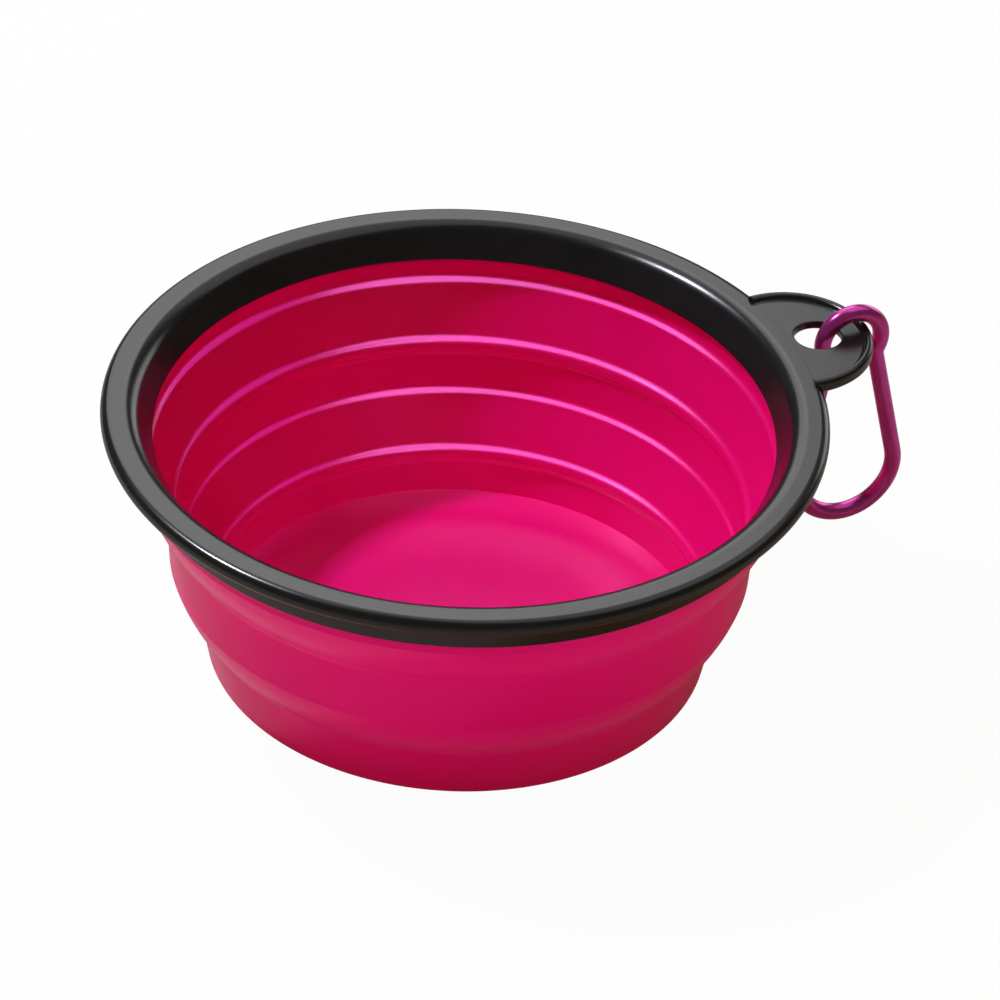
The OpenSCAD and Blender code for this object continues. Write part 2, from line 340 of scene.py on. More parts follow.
class PieceTree(Graph):
    """A Geometry Nodes tree that makes one kind of piece."""

    def __init__(self, name: str) -> None:
        """Starts a tree that takes an outline and a finish."""
        super().__init__(bpy.data.node_groups.new(name, "GeometryNodeTree"))
        self.tree.interface.new_socket("Geometry", in_out="OUTPUT",
                                       socket_type="NodeSocketGeometry")
        self.keys: dict[str, str] = {}
        self.entry = self.tree.nodes.new("NodeGroupInput")
        self.add_input("Outline", "NodeSocketGeometry")
        self.add_input("Finish", "NodeSocketMaterial")

    def add_input(self, name: str, kind: str) -> None:
        """Adds a named input and keeps its identifier."""
        made = self.tree.interface.new_socket(name, in_out="INPUT", socket_type=kind)
        self.keys[name] = made.identifier

    def given(self, name: str) -> Socket:
        """The socket of a named input."""
        return next(s for s in self.entry.outputs if s.identifier == self.keys[name])

    def whole(self, operation: str, a: Any, b: Any) -> Socket:
        """Adds an Integer Math node and gives its result."""
        return self.node("FunctionNodeIntegerMath", {0: a, 1: b}, operation=operation).outputs[0]

    def close(self, geometry: Socket) -> None:
        """Ends the tree with the finish on its mesh."""
        worn = {"Geometry": geometry, "Material": self.given("Finish")}
        self.node("NodeGroupOutput", {0: self.node("GeometryNodeSetMaterial", worn).outputs[0]})

    def make(self, name: str, points: Sequence[Place], finish: Finish,
             values: dict[str, Any]) -> Thing:
        """Runs the tree on a line of points and leaves a plain mesh.

        Args:
            name: name of the piece.
            points: the outline in millimetres.
            finish: finish of the piece.
            values: the tree's own inputs by name.

        Returns:
            The piece.
        """
        thing = new_thing(name, points, [(i, i + 1) for i in range(len(points) - 1)])
        modifier = thing.modifiers.new("maker", "NODES")
        modifier.node_group = self.tree
        for key, value in {**values, "Finish": finish.material()}.items():
            modifier[self.keys[key]] = value
        return smoothed(bake(thing))


class TurnedTree(PieceTree):
    """Turns an outline, given as (radius, 0, height), about the upright axis."""

    def __init__(self) -> None:
        """Builds the tree: a grid whose rows take the outline's points, bent round the axis."""
        super().__init__("turned piece")
        self.add_input("Steps round", "NodeSocketInt")
        outline, steps = self.given("Outline"), self.given("Steps round")
        count = self.node("GeometryNodeAttributeDomainSize", {0: outline}).outputs["Point Count"]
        rows = self.whole("ADD", steps, 1)
        grid = self.node("GeometryNodeMeshGrid", {"Vertices X": count, "Vertices Y": rows})
        index = self.node("GeometryNodeInputIndex").outputs[0]
        point = self.node("GeometryNodeSampleIndex", {
            "Geometry": outline, "Value": self.node("GeometryNodeInputPosition").outputs[0],
            "Index": self.whole("DIVIDE_FLOOR", index, rows)},
            data_type="FLOAT_VECTOR", domain="POINT")
        parts = self.node("ShaderNodeSeparateXYZ", {0: point.outputs[0]})
        around = self.math("MULTIPLY", self.whole("MODULO", index, rows), math.tau)
        turn = self.math("DIVIDE", around, steps)
        spot = self.node("ShaderNodeCombineXYZ", {
            0: self.math("MULTIPLY", parts.outputs[0], self.math("COSINE", turn)),
            1: self.math("MULTIPLY", parts.outputs[0], self.math("SINE", turn)),
            2: parts.outputs[2]})
        bent = self.node("GeometryNodeSetPosition", {
            0: grid.outputs[0], "Position": spot.outputs[0]})
        shut = self.node("GeometryNodeMergeByDistance", {0: bent.outputs[0], "Distance": WELD})
        self.close(shut.outputs[0])


class RodTree(PieceTree):
    """Runs a round rod along an outline."""

    def __init__(self) -> None:
        """Builds the tree: a circle swept along the outline, with closed ends."""
        super().__init__("round rod")
        self.add_input("Rod radius", "NodeSocketFloat")
        self.add_input("Sides", "NodeSocketInt")
        path = self.node("GeometryNodeMeshToCurve", {0: self.given("Outline")})
        ring = self.node("GeometryNodeCurvePrimitiveCircle", {
            "Resolution": self.given("Sides"), "Radius": self.given("Rod radius")}, mode="RADIUS")
        tube = self.node("GeometryNodeCurveToMesh", {
            "Curve": path.outputs[0], "Profile Curve": ring.outputs[0], "Fill Caps": True})
        self.close(tube.outputs[0])


def bake(thing: Thing) -> Thing:
    """Applies an object's modifiers to a new plain mesh with outward faces.

    Args:
        thing: object with modifiers.

    Returns:
        The same object.
    """
    bpy.context.view_layer.update()
    graph = bpy.context.evaluated_depsgraph_get()
    mesh = bpy.data.meshes.new_from_object(thing.evaluated_get(graph))
    thing.modifiers.clear()
    old, thing.data = thing.data, mesh
    bpy.data.meshes.remove(old)
    mesh.name = thing.name
    worn = [material for material in mesh.materials if material]
    mesh.materials.clear()
    for material in worn[:1]:
        mesh.materials.append(material)
    mesh.polygons.foreach_set("material_index", [0] * len(mesh.polygons))
    shape = bmesh.new()
    shape.from_mesh(mesh)
    bmesh.ops.recalc_face_normals(shape, faces=shape.faces)
    shape.to_mesh(mesh)
    shape.free()
    return thing


def linked(name: str, data: bpy.types.ID) -> Thing:
    """Makes an object of a mesh, a lamp or a camera and puts it in the scene.

    Args:
        name: name of the object.
        data: what it holds.

    Returns:
        The object.
    """
    thing = bpy.data.objects.new(name, data)
    bpy.context.scene.collection.objects.link(thing)
    return thing


def new_thing(name: str, points: Sequence[Place], edges: Sequence[tuple[int, int]] = (),
              faces: Sequence[Sequence[int]] = ()) -> Thing:
    """Makes an object at the origin from points in millimetres.

    Args:
        name: name of the piece.
        points: places in millimetres.
        edges: pairs of point numbers.
        faces: loops of point numbers.

    Returns:
        The linked object.
    """
    mesh = bpy.data.meshes.new(name)
    mesh.from_pydata([Vector(p) * MM for p in points], list(edges), [list(f) for f in faces])
    return linked(name, mesh)


def prism(name: str, low: Sequence[Place], high: Sequence[Place]) -> Thing:
    """Makes a closed shape between two outlines with the same number of points.

    Args:
        name: name of the shape.
        low: points of one end in millimetres.
        high: points of the other end.

    Returns:
        The linked object.
    """
    count = len(low)
    sides = [(k, (k + 1) % count, count + (k + 1) % count, count + k) for k in range(count)]
    ends = [tuple(reversed(range(count))), tuple(range(count, 2 * count))]
    return new_thing(name, [*low, *high], faces=[*ends, *sides])


def merged(name: str, things: Sequence[Thing]) -> Thing:
    """Joins several objects into one piece.

    Args:
        name: name of the piece.
        things: objects that are used up.

    Returns:
        The joined object, with the finish of the first.
    """
    shape = bmesh.new()
    for thing in things:
        shape.from_mesh(thing.data)
    mesh = bpy.data.meshes.new(name)
    shape.to_mesh(mesh)
    shape.free()
    mesh.materials.append(things[0].data.materials[0])
    for thing in things:
        bpy.data.meshes.remove(thing.data)
    return linked(name, mesh)


def cut(thing: Thing, cutters: Sequence[Thing]) -> Thing:
    """Cuts closed shapes out of an object.

    Args:
        thing: object to cut.
        cutters: closed shapes, used up.

    Returns:
        The same object.
    """
    for number, cutter in enumerate(cutters):
        modifier = thing.modifiers.new(f"cut {number}", "BOOLEAN")
        modifier.operation = "DIFFERENCE"
        modifier.solver = "EXACT"
        modifier.object = cutter
    bake(thing)
    for cutter in cutters:
        bpy.data.meshes.remove(cutter.data)
    return thing


def soften(thing: Thing, width: float) -> Thing:
    """Rounds the sharp edges of an object.

    Args:
        thing: object to soften.
        width: width of the rounding in millimetres.

    Returns:
        The same object.
    """
    modifier = thing.modifiers.new("softened edges", "BEVEL")
    modifier.width = width * MM
    modifier.segments = 2
    modifier.limit_method = "ANGLE"
    modifier.angle_limit = math.radians(40.0)
    modifier.use_clamp_overlap = True
    return bake(thing)


def smoothed(thing: Thing) -> Thing:
    """Shades an object smooth between its creases.

    Args:
        thing: object to shade.

    Returns:
        The same object.
    """
    for face in thing.data.polygons:
        face.use_smooth = True
    thing.data.set_sharp_from_angle(angle=math.radians(CREASE_DEG))
    return thing


def rounded(corners: Sequence[Corner], step_deg: float = 10.0) -> list[Flat]:
    """Rounds the corners of a closed outline.

    Args:
        corners: (x, y, radius of the rounding) of each corner.
        step_deg: turn between points of a rounding.

    Returns:
        The points of the outline, without repeating the first.
    """
    straight, most = math.radians(89.0), 0.499
    points: list[Flat] = []
    for i, (x, y, radius) in enumerate(corners):
        here = Vector((x, y))
        back = Vector(corners[i - 1][:2]) - here
        ahead = Vector(corners[(i + 1) % len(corners)][:2]) - here
        half = back.angle(ahead, math.pi) / 2
        if radius <= 0 or half > straight:
            points.append((x, y))
            continue
        reach = min(radius / math.tan(half), most * back.length, most * ahead.length)
        radius = reach * math.tan(half)
        start = here + back.normalized() * reach
        end = here + ahead.normalized() * reach
        inward = (back.normalized() + ahead.normalized()).normalized()
        middle = here + inward * (radius / math.sin(half))
        sweep = math.pi - 2 * half
        count = max(2, math.ceil(math.degrees(sweep) / step_deg))
        first = start - middle
        sign = 1.0 if first.cross(end - middle) > 0 else -1.0
        for k in range(count + 1):
            turn = Matrix.Rotation(sign * sweep * k / count, 2)
            points.append(tuple(middle + turn @ first))
    return points


def braced(points: Sequence[Flat], closed: bool, longest: float = 1.6,
           brace: float = 0.1) -> list[Flat]:
    """Adds points on long runs so that flat faces stay flat and bend smoothly.

    Args:
        points: the outline.
        closed: whether the outline returns to its first point.
        longest: longest run left in the middle of a face.
        brace: distance of the added points from each end of a run.

    Returns:
        The outline with the added points. A closed one repeats its first point at the end.
    """
    loop = list(points) + ([points[0]] if closed else [])
    made: list[Flat] = []
    for a, b in zip(loop, loop[1:]):
        run = math.dist(a, b)
        made.append(a)
        if run < 4 * brace:
            continue
        count = max(1, math.ceil((run - 2 * brace) / longest))
        for k in range(count + 1):
            share = (brace + (run - 2 * brace) * k / count) / run
            made.append((a[0] + (b[0] - a[0]) * share, a[1] + (b[1] - a[1]) * share))
    made.append(loop[-1])
    return made


def bulged(low: Flat, high: Flat, bulge: float, steps: int = 8) -> list[Corner]:
    """Points of a bulged line, without its two ends.

    Args:
        low: lower end.
        high: upper end.
        bulge: how far its middle stands out.
        steps: number of runs.

    Returns:
        Corners with no rounding of their own.
    """
    dx, dy = high[0] - low[0], high[1] - low[1]
    size = math.hypot(dx, dy)
    shares = [k / steps for k in range(1, steps)]
    return [(low[0] + dx * s + dy / size * bulge * 4 * s * (1 - s),
             low[1] + dy * s - dx / size * bulge * 4 * s * (1 - s), 0.0) for s in shares]


def arc(middle: Flat, radius: float, start_deg: float, sweep_deg: float,
        step_deg: float = 4.0) -> list[Flat]:
    """Points of an arc.

    Args:
        middle: centre.
        radius: radius.
        start_deg: angle of the first point.
        sweep_deg: turn to the last point.
        step_deg: turn between points.

    Returns:
        The points, both ends among them.
    """
    count = max(2, math.ceil(abs(sweep_deg) / step_deg))
    angles = [math.radians(start_deg + sweep_deg * k / count) for k in range(count + 1)]
    return [(middle[0] + radius * math.cos(a), middle[1] + radius * math.sin(a)) for a in angles]


class Workshop:
    """Makes turned and bent pieces with the two shared trees."""

    rod_sides = 40

    def __init__(self) -> None:
        """Builds the trees once."""
        self.turned_tree = TurnedTree()
        self.rod_tree = RodTree()

    def turn(self, name: str, outline: Sequence[Flat], finish: Finish, steps: int = 224) -> Thing:
        """Turns an outline of (radius, height) points about the upright axis."""
        points = [(r, 0.0, z) for r, z in outline]
        return self.turned_tree.make(name, points, finish, {"Steps round": steps})

    def rod(self, name: str, points: Sequence[Place], radius: float, finish: Finish) -> Thing:
        """Runs a rod of a radius in millimetres along a line."""
        values = {"Rod radius": radius * MM, "Sides": self.rod_sides}
        return self.rod_tree.make(name, points, finish, values)


def settle(thing: Thing, body: Body, slot: Slot, *nodes: str) -> Thing:
    """Puts a rigid piece on its body in place of the solids that it stands for.

    Args:
        thing: the piece.
        body: body that carries it.
        slot: not used.
        nodes: solids that it replaces.

    Returns:
        The piece.
    """
    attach(thing, body.value)
    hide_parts(*nodes)
    LOG.info("%s on %s, %d faces", thing.name, body.value, len(thing.data.polygons))
    return thing


@dataclass
class FoldingCup:
    """Silicone cup: three stiff tiers and the two webs that turn over between them."""

    floor_r: float = 44.2
    floor_t: float = 1.8
    floor_run: float = 4.0
    base_fold_z: float = 11.4
    middle_low_z: float = 19.85
    middle_top_z: float = 31.8
    top_fold_z: float = 40.95
    base_in_r: float = 45.2
    middle_low_r: float = 50.7
    middle_in_r: float = 51.5
    top_in_r: float = 56.7
    foot_out_r: float = 45.5
    base_out_r: float = 47.7
    middle_low_out_r: float = 52.6
    middle_out_r: float = 53.4
    top_out_r: float = 58.6
    foot_round: float = 1.2
    nose_lip: float = 0.55
    nose_drop: float = 3.6
    nose_round: float = 1.8
    fade_h: float = 0.9
    fade_in: float = 0.02
    fade_round: float = 2.0
    ledge: float = 1.2
    ledge_round: float = 1.6
    fold_drop: float = 0.55
    web_lean: float = 20.0
    web_setback: float = 0.75
    web_overhang: float = 0.5
    web_bulge: float = 0.5
    web_run: float = 0.8
    flare_h: float = 1.3
    flange_root_z: float = 45.5
    flange_lean: float = 0.593
    flange_top_z: float = 49.4
    flange_root_round: float = 2.0
    flange_round: float = 0.4
    finish: Finish = Silicone()

    @staticmethod
    def soft_step(out_r: float, in_r: float, out_lean: float, in_lean: float,
                  radius: float) -> tuple[list[Flat], list[Flat]]:
        """Step in the form of an S between two walls, about a height of nought.

        Args:
            out_r: radius of the wall above.
            in_r: radius of the wall below.
            out_lean: lean of the wall above, in degrees.
            in_lean: lean of the wall below, in degrees.
            radius: radius of its hollow and of its swell.

        Returns:
            The hollow above and the swell below, both downwards, that meet at nought.
        """
        ends = math.cos(math.radians(out_lean)) + math.cos(math.radians(in_lean))
        steepest = math.acos((ends - (out_r - in_r) / radius) / 2)
        across, along = radius * math.cos(steepest), radius * math.sin(steepest)
        meet = in_r - across + radius * math.cos(math.radians(in_lean))
        turn = math.degrees(steepest)
        hollow = arc((meet - across, along), radius, -out_lean, out_lean - turn, 6.0)
        swell = arc((meet + across, -along), radius, 180.0 - turn, turn - in_lean, 6.0)
        return hollow, swell

    def fold(self, wall_r: float, top_z: float) -> tuple[list[Corner], ...]:
        """Hollow foot of a web and swell of the nose below it, both downwards."""
        step = self.soft_step(wall_r + self.web_setback, wall_r - self.nose_lip,
                              self.web_lean, 0.0, self.nose_round)
        return tuple([(x, top_z + z - self.fold_drop, 0.0) for x, z in part] for part in step)

    def nose(self, wall_r: float, top_z: float) -> list[Corner]:
        """Rounded nose at the inner top of a tier, which fades downwards into its wall."""
        low_z = top_z - self.nose_drop
        return [*self.fold(wall_r, top_z)[1],
                (wall_r - self.nose_lip, low_z + self.fade_h, self.fade_round),
                (wall_r - self.fade_in, low_z, self.fade_round)]

    def ledge_step(self, wall_r: float, low_z: float) -> list[Corner]:
        """Small soft ledge at the inner bottom of a tier, from its wall down to the fold."""
        hollow, swell = self.soft_step(wall_r, wall_r - self.ledge, 0.0, self.web_lean,
                                       self.ledge_round)
        return [(x, low_z + z - swell[-1][1], 0.0) for x, z in hollow + swell[1:]]

    def flared(self, low: Flat, high: Flat, steps: int = 8) -> list[Corner]:
        """Outer wall of a tier, which flares at its top to meet the web's lip.

        Args:
            low: foot of the wall.
            high: top of the wall without its flare.
            steps: runs of the flare.

        Returns:
            Corners of the flare with no rounding of their own, upwards.
        """
        rise = high[1] - low[1]
        shares = [1 - self.flare_h / rise * (1 - k / steps) for k in range(steps + 1)]
        return [(low[0] + (high[0] - low[0]) * s + self.web_overhang * (k / steps) ** 2,
                 low[1] + rise * s, 0.0) for k, s in enumerate(shares)]

    def top_outline(self) -> list[Flat]:
        """Section of the top tier, with the flange that the rim holds."""
        lean = self.flange_lean * (self.flange_top_z - self.flange_root_z)
        return braced(rounded([
            (self.top_out_r, self.top_fold_z, 0.0),
            (self.top_out_r, self.flange_root_z, self.flange_root_round),
            (self.top_out_r + lean, self.flange_top_z, self.flange_round),
            (self.top_in_r + lean, self.flange_top_z, self.flange_round),
            (self.top_in_r, self.flange_root_z, self.flange_root_round),
            *self.ledge_step(self.top_in_r, self.top_fold_z)]), True)

    def middle_outline(self) -> list[Flat]:
        """Section of the middle tier."""
        low = (self.middle_low_out_r, self.middle_low_z)
        return braced(rounded([
            (*low, 0.0),
            *self.flared(low, (self.middle_out_r, self.middle_top_z)),
            *self.nose(self.middle_in_r, self.middle_top_z),
            *self.ledge_step(self.middle_low_r, self.middle_low_z)]), True)

    def base_outline(self) -> list[Flat]:
        """Section of the base tier and the floor, from the axis below to the axis above."""
        return braced(rounded([
            (0.0, 0.0, 0.0),
            (self.foot_out_r, 0.0, self.foot_round),
            *self.flared((self.foot_out_r, 0.0), (self.base_out_r, self.base_fold_z)),
            *self.nose(self.base_in_r, self.base_fold_z),
            (self.floor_r, self.floor_t, 0.0),
            (0.0, self.floor_t, 0.0)]), False, self.floor_run)

    def web(self, shop: Workshop, name: str, node: str, above: Body, below: Body,
            top: Corner, foot: Corner) -> Thing:
        """Makes a web between the tiers above and below it.

        Args:
            shop: maker of turned pieces.
            name: name of the piece.
            node: solid that it replaces.
            above: body at its top.
            below: body at its foot.
            top: inside radius, outside radius and height of the tier above, at its foot.
            foot: the same of the tier below, at its top.

        Returns:
            The web.
        """
        (top_r, top_out_r, top_z), (wall_r, wall_out_r, low_z) = top, foot
        lip = (wall_out_r + self.web_overhang, low_z)
        outline = rounded([
            (*lip, 0.0), *bulged(lip, (top_out_r, top_z), self.web_bulge),
            (top_out_r, top_z, 0.0), (top_r - self.ledge, top_z, 0.0),
            *self.fold(wall_r, low_z)[0]])
        thing = shop.turn(name, braced(outline, True, self.web_run), self.finish)
        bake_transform(thing)
        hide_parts(node)
        LOG.info("%s between %s and %s", name, above.value, below.value)
        return thing

    def build(self, shop: Workshop) -> list[Thing]:
        """Makes the five bands of the cup and puts the three tiers on their bodies."""
        tiers = (("cup_top_tier", self.top_outline(), Body.RIM, "top_tier"),
                 ("cup_middle_tier", self.middle_outline(), Body.MIDDLE, "middle_tier"),
                 ("cup_base", self.base_outline(), Body.BASE, "base_cup"))
        return [
            *(settle(shop.turn(name, outline, self.finish), body, Slot.SILICONE, node)
              for name, outline, body, node in tiers),
            self.web(shop, "cup_upper_web", "upper_fold_web", Body.RIM, Body.MIDDLE,
                     (self.top_in_r, self.top_out_r, self.top_fold_z),
                     (self.middle_in_r, self.middle_out_r, self.middle_top_z)),
            self.web(shop, "cup_lower_web", "lower_fold_web", Body.MIDDLE, Body.BASE,
                     (self.middle_low_r, self.middle_low_out_r, self.middle_low_z),
                     (self.base_in_r, self.base_out_r, self.base_fold_z))]


@dataclass
class Rim:
    """Stiff rim with a rolled edge, a sloping collar, a skirt and the hang tab."""

    rim_r: float = 65.05
    height: float = 52.15
    roll_r: float = 1.6
    lip_r: float = 3.5
    collar_r: float = 55.5
    collar_z: float = 46.05
    collar_h: float = 4.55
    collar_lean: float = 2.7
    collar_t: float = 1.45
    slot_top_z: float = 49.9
    slot_w: float = 2.0
    skirt_z: float = 43.7
    skirt_in_r: float = 59.4
    skirt_t: float = 1.0
    skirt_top_r: float = 61.73
    skirt_root: float = 0.2
    corner_round: float = 0.2
    foot_round: float = 0.3
    skirt_round: float = 0.45
    tab_x: float = 63.45
    tab_r: float = 15.1
    tab_face_z: float = 52.147
    tab_t: float = 1.6
    tab_foot_round: float = 0.5
    tab_run: float = 0.1
    edge_r: float = 0.9
    edge_z: float = 52.15
    edge_drop: float = 0.3
    cove_w: float = 0.25
    cove: tuple[Flat, ...] = ((0.1, 0.03), (0.02, 0.1))
    hole_x: float = 68.95
    hole_r: float = 4.35
    hole_round: float = 0.3
    cut_r: float = 63.45
    cut_z: Flat = (40.0, 60.0)
    ring_steps: int = 288
    tab_steps: int = 160
    cut_steps: int = 256
    finish: Finish = RimPlastic()

    def ring_outline(self) -> list[Flat]:
        """Section of the ring, anticlockwise from the collar's foot."""
        tilt = math.atan2(self.collar_lean, self.collar_h)
        lean = math.tan(tilt) * (self.slot_top_z - self.collar_z)
        lip_z = self.height - self.lip_r
        lip_x = self.collar_r + math.tan(tilt) * (lip_z - self.collar_z)
        lip_x += self.lip_r / math.cos(tilt)
        lip = arc((lip_x, lip_z), self.lip_r, 90.0, 90.0 - math.degrees(tilt), 5.0)
        slot_in = self.collar_r + self.collar_t
        under_z = self.height - 2 * self.roll_r
        return braced(rounded([
            (self.collar_r, self.collar_z, self.foot_round),
            (slot_in, self.collar_z, self.corner_round),
            (slot_in + lean, self.slot_top_z, self.corner_round),
            (slot_in + lean + self.slot_w, self.slot_top_z, self.corner_round),
            (self.skirt_in_r, self.collar_z + self.skirt_root, self.corner_round),
            (self.skirt_in_r, self.skirt_z, self.foot_round),
            (self.skirt_in_r + self.skirt_t, self.skirt_z, self.skirt_round),
            (self.skirt_top_r, under_z, self.corner_round),
            (self.rim_r, under_z, self.roll_r),
            (self.rim_r, self.height, self.roll_r),
            *((x, z, 0.0) for x, z in lip)]), True)

    @staticmethod
    def spaced(near: Flat, far: Flat, shares: Sequence[float], z: float) -> list[Corner]:
        """Rings at one height, at shares of the way between two (centre x, radius)."""
        return [(near[0] + (far[0] - near[0]) * s, near[1] + (far[1] - near[1]) * s, z)
                for s in shares]

    def tab_rings(self) -> list[Corner]:
        """Section of the tab, round from the hole's lower edge and back to it.

        Returns:
            The centre's x, the radius and the height of each ring.
        """
        face_z, low_z = self.tab_face_z, self.tab_face_z - self.tab_t
        soft, foot = self.hole_round, self.tab_foot_round
        hole = arc((self.hole_r + soft, low_z + soft), soft, 270.0, -90.0, 30.0)
        hole += arc((self.hole_r + soft, face_z - soft), soft, 180.0, -90.0, 30.0)
        edge_in = self.tab_r - 2 * self.edge_r
        edge = [(edge_in - inward, face_z + up) for inward, up in self.cove]
        edge += arc((self.tab_r - self.edge_r, self.edge_z), self.edge_r, 168.0, -168.0, 12.0)
        edge += [(self.tab_r, self.edge_z - self.edge_drop),
                 (self.tab_r, low_z + foot + self.tab_run)]
        edge += arc((self.tab_r - foot, low_z + foot), foot, 0.0, -90.0, 30.0)
        inner = (self.hole_x, self.hole_r + soft + self.tab_run)
        face_end = (self.tab_x, edge_in - self.cove_w)
        back_end = (self.tab_x, self.tab_r - foot - self.tab_run)
        return [*((self.hole_x, r, z) for r, z in hole),
                *self.spaced(inner, face_end, (0.0, 0.25, 0.5, 0.75, 0.97, 1.0), face_z),
                *((self.tab_x, r, z) for r, z in edge),
                *self.spaced(back_end, inner, (0.0, 0.25, 0.5, 0.75, 1.0), low_z)]

    @staticmethod
    def circle(x: float, radius: float, z: float, steps: int) -> list[Corner]:
        """Points of a level circle about a place on the x axis."""
        turns = [math.tau * k / steps for k in range(steps)]
        return [(x + radius * math.cos(a), radius * math.sin(a), z) for a in turns]

    def tab(self) -> Thing:
        """Makes the tab with its hole and raised edge, cut off inside the rim.

        Returns:
            The tab.
        """
        rings, steps = self.tab_rings(), self.tab_steps
        points = [p for x, r, z in rings for p in self.circle(x, r, z, steps)]
        starts = [i * steps for i in range(len(rings))]
        faces = [(a + k, a + (k + 1) % steps, b + (k + 1) % steps, b + k)
                 for a, b in zip(starts, starts[1:] + starts[:1]) for k in range(steps)]
        thing = new_thing("tab", points, faces=faces)
        thing.data.materials.append(self.finish.material())
        bake(thing)
        ends = [self.circle(0.0, self.cut_r, z, self.cut_steps) for z in self.cut_z]
        return smoothed(cut(thing, [prism("core", *ends)]))

    def build(self, shop: Workshop) -> None:
        """Makes the ring and its tab as one moulding."""
        ring = shop.turn("ring", self.ring_outline(), self.finish, self.ring_steps)
        settle(merged("rim_moulding", [ring, self.tab()]), Body.RIM, Slot.RIM, "rim_ring")


@dataclass
class Carabiner:
    """Small pear-shaped carabiner with a sprung gate, hung from the tab."""

    eye_x: float = 75.925
    eye_z: float = 49.574
    hang_lean: float = 2.0
    rod_r: float = 1.55
    rod_soft: float = 0.12
    eye_r: float = 5.85
    bend_r: float = 9.7
    span: float = 29.0
    spine_runs: int = 12
    side_lean: float = 11.3
    neck_r: float = 3.0
    gate_gap: float = 0.2
    gate_start: float = 0.02
    gate_runs: int = 16
    tongue_t: float = 1.1
    tongue_w: float = 2.2
    tongue_root: float = 0.3
    tongue_soft: float = 0.1
    slot_gap: float = 0.15
    slot_floor: float = 2.15
    slot_rise: float = 4.0
    nose_w: float = 2.4
    nose_h: float = 3.6
    nose_slope: float = 0.6
    nose_corner: float = 0.25
    nose_soft: float = 0.08
    pin_up: float = 2.2
    pin_r: float = 0.5
    pin_gap: float = 0.1
    pin_crown: float = 0.12
    pin_dome: float = 0.036
    pin_run: float = 0.05
    pin_steps: int = 40
    rivet_r: float = 0.55
    cutter_spare: float = 1.0
    crown_spare: float = 0.6
    finish: Finish = Anodised()
    steel: Finish = PinSteel()

    def __post_init__(self) -> None:
        """Works out the bends from the sizes."""
        lean = math.radians(self.side_lean)
        self.side_x = self.bend_r - self.span * math.sin(lean)
        self.bend_y = self.span * math.cos(lean)
        self.neck_x = self.side_x + self.neck_r
        self.neck_y = math.sqrt((self.eye_r + self.neck_r) ** 2 - self.neck_x ** 2)
        self.neck_deg = math.degrees(math.atan2(self.neck_y, self.neck_x))
        self.pivot_y = self.neck_y + self.rod_r + self.gate_gap
        self.pin_y = self.bend_y - self.pin_up
        lean_back = Matrix.Rotation(math.radians(-self.hang_lean), 4, "Y")
        upright = Matrix.Rotation(math.radians(90.0), 4, "X")
        self.hang = Matrix.Translation((self.eye_x, 0.0, self.eye_z)) @ lean_back @ upright
        self.spine = Matrix.Rotation(lean, 4, "Z")
        self.gate = Matrix.Scale(-1.0, 4, (1.0, 0.0, 0.0)) @ self.spine

    def placed(self, points: Sequence[Flat], side: Matrix | None = None,
               depth: float = 0.0) -> list[Vector]:
        """Places of points given in the carabiner's plane, or along one side of it."""
        turn = self.hang @ (side or Matrix.Identity(4))
        return [turn @ Vector((x, y, depth)) for x, y in points]

    def straight(self, top_y: float, low_y: float, runs: int) -> list[Flat]:
        """Points down the middle of a straight side, between two distances from the eye."""
        return [(self.side_x, -top_y - (low_y - top_y) * k / runs) for k in range(runs + 1)]

    def body_path(self) -> list[Vector]:
        """Middle line of the body, from the hinge of the gate round to its nose."""
        neck = arc((self.neck_x, -self.neck_y), self.neck_r, 180.0, -self.neck_deg)
        start = self.side_lean - self.neck_deg
        eye = arc((0.0, 0.0), self.eye_r, 180.0 - start, 2 * start - 180.0)
        side = self.straight(self.neck_y, self.bend_y, self.spine_runs)[1:-1]
        sweep = -180.0 - 2 * self.side_lean
        bend = arc((0.0, -self.span), self.bend_r, self.side_lean, sweep)
        return [*self.placed(neck, self.gate), *self.placed(eye[1:]),
                *self.placed(neck[-2::-1], self.spine), *self.placed(side, self.spine),
                *self.placed(bend)]

    def plate(self, name: str, outline: Sequence[Flat], thick: float) -> Thing:
        """A flat plate along the gate's side, in the middle of the rod.

        Args:
            name: name of the plate.
            outline: its outline, along that side.
            thick: its thickness.

        Returns:
            The closed plate.
        """
        ends = [self.placed(outline, self.gate, depth) for depth in (-thick / 2, thick / 2)]
        thing = prism(name, *ends)
        thing.data.materials.append(self.finish.material())
        return bake(thing)

    def slot(self, name: str, width: float, top_y: float, low_y: float) -> Thing:
        """Cutter for a slot in the gate, between two distances from the eye.

        Args:
            name: name of the cutter.
            width: its width across the rod.
            top_y: distance of its upper end.
            low_y: distance of its lower end.

        Returns:
            The closed cutter.
        """
        left, right = self.side_x - width / 2, self.side_x + width / 2
        outline = [(left, -low_y), (right, -low_y), (right, -top_y), (left, -top_y)]
        return self.plate(name, outline, self.tongue_t + 2 * self.slot_gap)

    def hinge_tongue(self) -> Thing:
        """Flat end of the body that the gate turns on."""
        half, top = self.tongue_w / 2, self.tongue_root - self.neck_y
        end = arc((self.side_x, -self.pivot_y), half, 180.0, 180.0, 15.0)
        outline = [*end, (self.side_x + half, top), (self.side_x - half, top)]
        return soften(self.plate("hinge_tongue", outline, self.tongue_t), self.tongue_soft)

